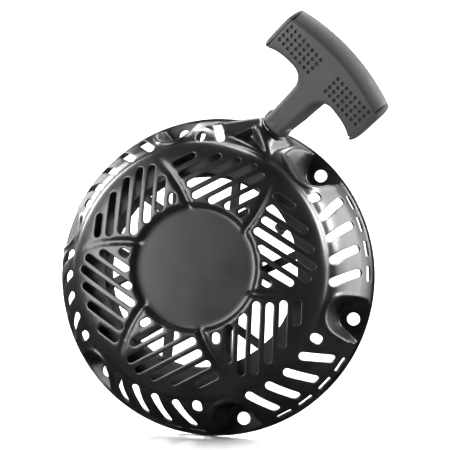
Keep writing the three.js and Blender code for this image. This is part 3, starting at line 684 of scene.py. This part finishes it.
def build_housing():
    slots = slot_outlines()
    rim = polar(REACH, np.linspace(0, TURN, 361)[:-1])
    outlines = [rim]
    for slot in slots:
        outlines += [slot] + [grown(slot, row) for row in EDGE["rows"]]
    loose = np.concatenate([pocket_rings(), face_rows()])
    flat, faces = triangulate(outlines, loose, GRID["clear"])
    middle = flat[faces].mean(1)
    keep = np.ones(len(faces), bool)
    edge = np.zeros(len(flat))
    for slot in slots:
        centre, reach = slot.mean(0), np.linalg.norm(slot - slot.mean(0), axis=1).max() + 1
        close = np.flatnonzero(np.linalg.norm(middle - centre, axis=1) < reach)
        keep[close[inside(middle[close], slot)]] = False
        close = np.flatnonzero(np.linalg.norm(flat - centre, axis=1) < reach)
        d = distance_to(flat[close], slot)
        edge[close] = np.maximum(edge[close], np.clip(1 - d / EDGE["reach"], 0, 1) ** 2)
    faces = faces[keep]
    used, renumbered = np.unique(faces, return_inverse=True)
    faces, flat, edge = renumbered.reshape(faces.shape), flat[used], edge[used]
    plan = rolled(flat)
    points = np.column_stack([plan, height(plan)])
    normal = vertex_normals(points, faces)
    points = points - normal * edge[:, None] * EDGE["roll"]
    housing = new_object("housing_shell", front(points), faces, PAINT)
    # Closeness to a slot is also stored as the 'edge' attribute, which the paint turns into a painted
    # highlight along the slot edges.
    housing.data.attributes.new("edge", "FLOAT", "POINT").data.foreach_set("value", edge)
    shell = housing.modifiers.new("sheet", "SOLIDIFY")
    shell.thickness = SHEET * MM
    shell.offset = -1
    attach(housing, "housing")
    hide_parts("housing")


def vertex_normals(points, faces):
    a, b, c = (points[faces[:, k]] for k in range(3))
    face = np.cross(b - a, c - a)
    total = np.zeros_like(points)
    for k in range(3):
        np.add.at(total, faces[:, k], face)
    return total / np.maximum(np.linalg.norm(total, axis=1, keepdims=True), 1e-12)


# --- handle ---

def handle_thickness(x, y):
    depth = np.interp(y, *STEM_DEPTHS)
    return depth * (1 - THINNER_ENDS * (np.abs(x) / GRIP["half"]) ** 4 * (y > GRIP_FROM))


def crest_height(x):
    return GRIP["crest"] - GRIP["droop"] * x ** 2


def handle_outline():
    """The T's outline, anticlockwise from the stem's foot, with each point's fillet and bulge share."""
    right = list(curve_through(STEM_SIDE, 4)[:-1])
    xs = np.linspace(STEM_SIDE[-1][0], GRIP["half"], 15)
    lift = STEM_SIDE[-1][1] - GRIP["under"]
    right += [(x, GRIP["under"] + lift - GRIP["tip"] * (x / GRIP["half"]) ** 5) for x in xs[:-1]]
    low = right[-1][1] + 0.9
    ends = [(GRIP["half"], y) for y in np.linspace(low, crest_height(GRIP["half"]), 14)]
    crest = [(x, crest_height(x)) for x in np.linspace(GRIP["half"], 0, 25)[1:]]
    foot = [(x, STEM_SIDE[0][1]) for x in np.linspace(0, STEM_SIDE[0][0], 5)[:-1]]
    half = foot + right + ends + crest
    kinds = ["foot"] * len(foot) + ["under"] * len(right) + ["end"] * len(ends) + ["crest"] * len(crest)
    points = np.array(half + [(-x, y) for x, y in half[1:-1]][::-1])
    kinds = kinds + kinds[1:-1][::-1]
    fillet = np.array([FILLET[kind] for kind in kinds])
    swell = np.array([float(kind == "crest") for kind in kinds])
    for _ in range(3):
        fillet = (np.roll(fillet, 1) + 2 * fillet + np.roll(fillet, -1)) / 4
    return points, fillet, swell


def dimple_centres():
    field = DIMPLE_FIELD
    xs = np.linspace(field["inner"], field["outer"], DIMPLE["columns"])
    centres = []
    for side in (-1, 1):
        for x in xs:
            for y in np.linspace(field["low"], field["high"], DIMPLE["rows"]):
                centres.append((side * x, y))
    return np.array(centres)


def face_fill(outline, holes, spacing=1.5):
    """Triangles over a face's outline with small rings round each hole centre."""
    rings = []
    turn = np.linspace(0, TURN, 15)[:-1]
    for centre in holes:
        rings += [centre + polar(DIMPLE["r"] * k, turn) for k in (1.15, 1, 0.85, 0.5)]
    low, high = outline.min(0), outline.max(0)
    gx, gy = np.meshgrid(np.arange(low[0], high[0], spacing), np.arange(low[1], high[1], spacing))
    loose = np.column_stack([gx.ravel(), gy.ravel()])
    loose = np.concatenate([loose[inside(loose, outline)], holes])
    flat, faces = triangulate([outline] + rings, loose, 0.4)
    return flat, faces[inside(flat[faces].mean(1), outline)]


def dimple_depth(flat, holes):
    depth = np.zeros(len(flat))
    for centre in holes:
        d = np.linalg.norm(flat - centre, axis=1) / DIMPLE["r"]
        bowl = DIMPLE["depth"] * np.clip(1.08 - d ** 3, 0, 1)
        depth = np.maximum(depth, np.where(d < 1.12, bowl, 0))
    return depth


def flared(points, thick):
    """Side points with the stem made wider towards its back."""
    behind = np.clip((thick - points[:, 2]) / (2 * thick), 0, 1)
    wider = np.interp(points[:, 1], *STEM_FLARE) * np.clip(points[:, 0] / STEM_SIDE[0][0], -1, 1)
    return points + np.column_stack([wider * behind, np.zeros((len(points), 2))])


def handle_rings(outline, fillet, swell, thick):
    """Rings of side points from the front face's edge to the back's."""
    inward = grown(outline, -1) - outline
    rings = []
    for a in np.linspace(0, math.pi / 2, 6)[:-1]:
        plan = outline + inward * (fillet * (1 - math.sin(a)))[:, None]
        rings.append(np.column_stack([plan, thick - fillet * (1 - math.cos(a))]))
    for share in np.linspace(1, 0, 8):
        level = (thick - fillet) * share
        out = GRIP["bulge"] * swell * (1 - (level / thick) ** 2)
        rings.append(np.column_stack([outline - inward * out[:, None], level]))
    rings += [ring * (1, 1, -1) for ring in rings[-2::-1]]
    return [flared(ring, thick) for ring in rings]


def build_handle():
    outline, fillet, swell = handle_outline()
    rings = handle_rings(outline, fillet, swell, handle_thickness(*outline.T))
    points = list(np.concatenate(rings))
    faces = ring_faces(len(outline), len(rings))
    for sign, edge, holes in ((1, rings[0], dimple_centres()), (-1, rings[-1], np.zeros((0, 2)))):
        flat, triangles = face_fill(edge[:, :2], holes)
        level = handle_thickness(*flat.T) - dimple_depth(flat, holes)
        base = len(points)
        points += list(np.column_stack([flat, sign * level]))
        faces += [tuple(base + i for i in triangle[::sign]) for triangle in triangles]
    body = new_object("handle_shell", front(on_handle(np.array(points))), faces, HANDLE_PLASTIC)
    weld(body)
    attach(body, "handle")
    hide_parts("handle_body")
    collar = lathe_object("handle_collar", COLLAR_SECTION, HANDLE_PLASTIC)
    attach(collar, "handle")
    for side, name in ((-1, "left"), (1, "right")):
        build_end_cap(side, name)


def lathe_object(name, section, material, steps=64):
    """A closed ring about the pull line from (radius, place along the pull) points."""
    angles = np.linspace(0, TURN, steps + 1)[:-1]
    points = [(r * math.cos(a), y, r * math.sin(a)) for a in angles for r, y in section]
    faces = ring_faces(len(section), steps, True)
    made = new_object(name, front(on_handle(np.array(points))), faces, material)
    shade_by_angle(made, 30)
    return made


def weld(obj, distance=0.00001):
    """Join the points that several faces of a mesh share, and shade it."""
    bm = bmesh.new()
    bm.from_mesh(obj.data)
    bmesh.ops.remove_doubles(bm, verts=bm.verts, dist=distance)
    bmesh.ops.recalc_face_normals(bm, faces=bm.faces)
    bm.to_mesh(obj.data)
    bm.free()
    shade_by_angle(obj, 32)


def shade_by_angle(obj, degrees):
    """Smooth shading apart from edges sharper than an angle."""
    bm = bmesh.new()
    bm.from_mesh(obj.data)
    bmesh.ops.recalc_face_normals(bm, faces=bm.faces)
    for face in bm.faces:
        face.smooth = True
    for edge in bm.edges:
        edge.smooth = not (edge.is_manifold and edge.calc_face_angle(0) > math.radians(degrees))
    bm.to_mesh(obj.data)
    bm.free()


def end_section():
    """Outline of the grip's end in the plane across it."""
    high = crest_height(GRIP["half"])
    low = GRIP["under"] - GRIP["tip"] + 0.3
    thick = float(handle_thickness(np.array([GRIP["half"]]), np.array([45.0]))[0])
    r = END_CORNER_R
    crest = [(high + GRIP["bulge"] * (1 - t * t), thick * t) for t in np.linspace(-1, 1, 15)]
    back = [(y, thick) for y in np.linspace(high, low + r, 8)[1:-1]]
    arc = np.linspace(0, math.pi / 2, 6)
    corner = [(low + r - r * math.sin(a), thick - r + r * math.cos(a)) for a in arc]
    under = [(low, z) for z in np.linspace(thick - r, r - thick, 7)[1:-1]]
    mirrored = [(y, -z) for y, z in (back + corner)[::-1]]
    return np.array(crest + back + corner + under + mirrored)


def build_end_cap(side, name):
    section = end_section()
    middle = section.mean(0)
    count = len(section)
    points = []
    for out, scale in END_CAP:
        points += [(side * (GRIP["half"] + out), *p) for p in middle + (section - middle) * scale]
    faces = ring_faces(count, len(END_CAP))
    for k in (0, len(END_CAP) - 1):
        centre = len(points)
        points.append((side * (GRIP["half"] + END_CAP[k][0]), *middle))
        faces += [(centre, k * count + (i + 1) % count, k * count + i) for i in range(count)]
    cap = new_object("end_cap_" + name, front(on_handle(np.array(points))), faces, HANDLE_PLASTIC)
    weld(cap)
    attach(cap, "handle")
    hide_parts("handle_end_cap_" + name)


# --- rope ---

def tube(name, line, r, material, sides=14, closed=False):
    """A round tube along front-frame points."""
    line = np.asarray(line, float)
    ahead = np.roll(line, -1, 0) - np.roll(line, 1, 0) if closed else np.gradient(line, axis=0)
    ahead /= np.linalg.norm(ahead, axis=1, keepdims=True)
    side = np.cross(ahead[0], (0.3, 0.2, 0.93))
    points = []
    for place, along in zip(line, ahead):
        side = side - along * (side @ along)
        side /= np.linalg.norm(side)
        other = np.cross(along, side)
        for a in np.linspace(0, TURN, sides + 1)[:-1]:
            points.append(place + r * (math.cos(a) * side + math.sin(a) * other))
    faces = ring_faces(sides, len(line), closed)
    if not closed:
        last = (len(line) - 1) * sides
        faces += [tuple(range(sides - 1, -1, -1)), tuple(range(last, last + sides))]
    return new_object(name, front(points), faces, material)


def build_ropes():
    along = np.concatenate([np.linspace(*STRETCH, 43), np.linspace(STRETCH[1] + 1, ROPE_END, 24)])
    line = on_handle(np.column_stack([0 * along, along, 0 * along]))
    pulled = tube("rope_stretch", line, ROPE_R, ROPE_FIBRE)
    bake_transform(pulled)
    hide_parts("rope_pull")
    stop = SEAT + LEAD["stop"] * PULL
    touch = math.atan2(stop[1], stop[0]) + math.acos(LEAD["r"] / math.hypot(stop[0], stop[1]))
    begin = np.array([*polar(LEAD["r"], touch), LEAD["height"]])
    lead = tube("rope_to_eyelet", begin + (stop - begin) * np.linspace(0, 1, 12)[:, None], ROPE_R, ROPE_FIBRE)
    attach(lead, "housing")
    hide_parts("rope_lead")
    for k, layer in enumerate(COIL["layers"]):
        t = np.linspace(0, 1, COIL["turns"] * COIL["steps"])
        ends = (COIL["back"], COIL["front"])
        level = ends[k] + (ends[1 - k] - ends[k]) * t
        wound = np.column_stack([polar(layer, TURN * COIL["turns"] * t), level])
        strand = tube(f"rope_layer_{k + 1}", wound, ROPE_R, ROPE_FIBRE, 10)
        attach(strand, "reel")
        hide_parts("rope_coil")
    build_knot("rope_knot", on_handle([0, KNOT_ALONG, 0]), "handle")
    build_knot("reel_knot", REEL_KNOT, "reel")


def build_knot(node, place, body):
    """An overhand knot pulled tight."""
    t = np.linspace(0, TURN, 97)[:-1]
    x, y = np.sin(t) + 2 * np.sin(2 * t), np.cos(t) - 2 * np.cos(2 * t)
    loop = np.column_stack([x, y, -1.6 * np.sin(3 * t)])
    strand = KNOT_R[node] / 3
    line = np.array(place) + loop * (KNOT_R[node] - strand) / 3
    knot = tube(node + "_tied", line, strand, ROPE_FIBRE, 12, True)
    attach(knot, body)
    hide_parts(node)


# --- CAD pieces that keep their shape ---

CAD_FINISH = {
    "centre_post": BARE_STEEL, "recoil_spring": SPRING_STEEL, "bolt_washer": BARE_STEEL,
    "centre_bolt": BARE_STEEL, "rope_lead": ROPE_FIBRE, "rope_eyelet": PAINT, "reel": REEL_PLASTIC,
    "reel_bush": BUSH_PLASTIC, "spring_cover": BARE_STEEL, "rope_coil": ROPE_FIBRE, "reel_knot": ROPE_FIBRE,
    "pawl_1": BARE_STEEL, "pawl_2": BARE_STEEL, "pawl_pin_1": BARE_STEEL, "pawl_pin_2": BARE_STEEL,
    "pawl_spring_1": SPRING_STEEL, "pawl_spring_2": SPRING_STEEL, "cam_plate": BARE_STEEL,
    "friction_spring": SPRING_STEEL, "handle_body": HANDLE_PLASTIC, "handle_end_cap_left": HANDLE_PLASTIC,
    "handle_end_cap_right": HANDLE_PLASTIC, "knot_cover": HANDLE_PLASTIC, "knot_washer": BARE_STEEL,
    "rope_knot": ROPE_FIBRE, "rope_pull": ROPE_FIBRE, "housing": PAINT,
}


def finish_cad_nodes():
    for name, material in CAD_FINISH.items():
        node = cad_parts[name]
        node.data.materials.clear()
        node.data.materials.append(material)
        rounded = node.modifiers.new("edges", "BEVEL")
        rounded.width = EDGE_BEVEL["width"] * MM
        rounded.segments = EDGE_BEVEL["segments"]
        rounded.limit_method = "ANGLE"
        rounded.angle_limit = EDGE_BEVEL["angle"]
        rounded.harden_normals = False


# --- stage, camera, lights ---

def look_from(place, target):
    return (Vector(target) - Vector(place)).to_track_quat("-Z", "Y")


def make_camera():
    data = bpy.data.cameras.new("camera")
    data.lens = CAMERA["lens"]
    data.clip_start = CAMERA["near"]
    camera = bpy.data.objects.new("camera", data)
    bpy.context.scene.collection.objects.link(camera)
    right, up = Vector(CAMERA["right"]), Vector(CAMERA["up"])
    back = right.cross(up)
    camera.matrix_world = Matrix((right, up, back)).transposed().to_4x4()
    camera.location = CAMERA["place"]
    bpy.context.scene.camera = camera


def area_light(name, place, target, size, power):
    data = bpy.data.lights.new(name, "AREA")
    data.shape = "RECTANGLE"
    data.size, data.size_y = size
    data.energy = power
    lamp = bpy.data.objects.new(name, data)
    lamp.location = place
    lamp.rotation_mode = "QUATERNION"
    lamp.rotation_quaternion = look_from(place, target)
    bpy.context.scene.collection.objects.link(lamp)


def make_stage():
    """A pale floor that sweeps up into a backdrop."""
    low = CAD_BOX[0].z
    run, radius = FLOOR["back"], FLOOR["curve"]
    section = [(FLOOR["front"], low), (run, low)]
    for a in np.linspace(0, math.pi / 2, 17)[1:]:
        section.append((run + radius * math.sin(a), low + radius * (1 - math.cos(a))))
    section.append((run + radius, low + FLOOR["rise"]))
    points, faces = [], []
    for y, z in section:
        points += [(-FLOOR["half"], y, z), (FLOOR["half"], y, z)]
    for i in range(len(section) - 1):
        faces.append((2 * i, 2 * i + 1, 2 * i + 3, 2 * i + 2))
    material, tree, shader = node_material("studio_paper", (0.93, 0.93, 0.93), 0.9)
    tree.links.new(ramp(tree, noise(tree, 3, 2), 0.92, 0.94), shader.inputs["Base Color"])
    floor = new_object("studio_floor", points, faces, material)
    floor.visible_glossy = False


def make_lights():
    world = bpy.data.worlds.new("studio")
    world.use_nodes = True
    world.node_tree.nodes["Background"].inputs["Color"].default_value = (1, 1, 1, 1)
    world.node_tree.nodes["Background"].inputs["Strength"].default_value = WORLD_STRENGTH
    bpy.context.scene.world = world
    for light in LIGHTS:
        area_light(*light)


bpy.context.scene.view_settings.view_transform = "Standard"
make_camera()
make_stage()
make_lights()
finish_cad_nodes()
build_housing()
build_handle()
build_ropes()
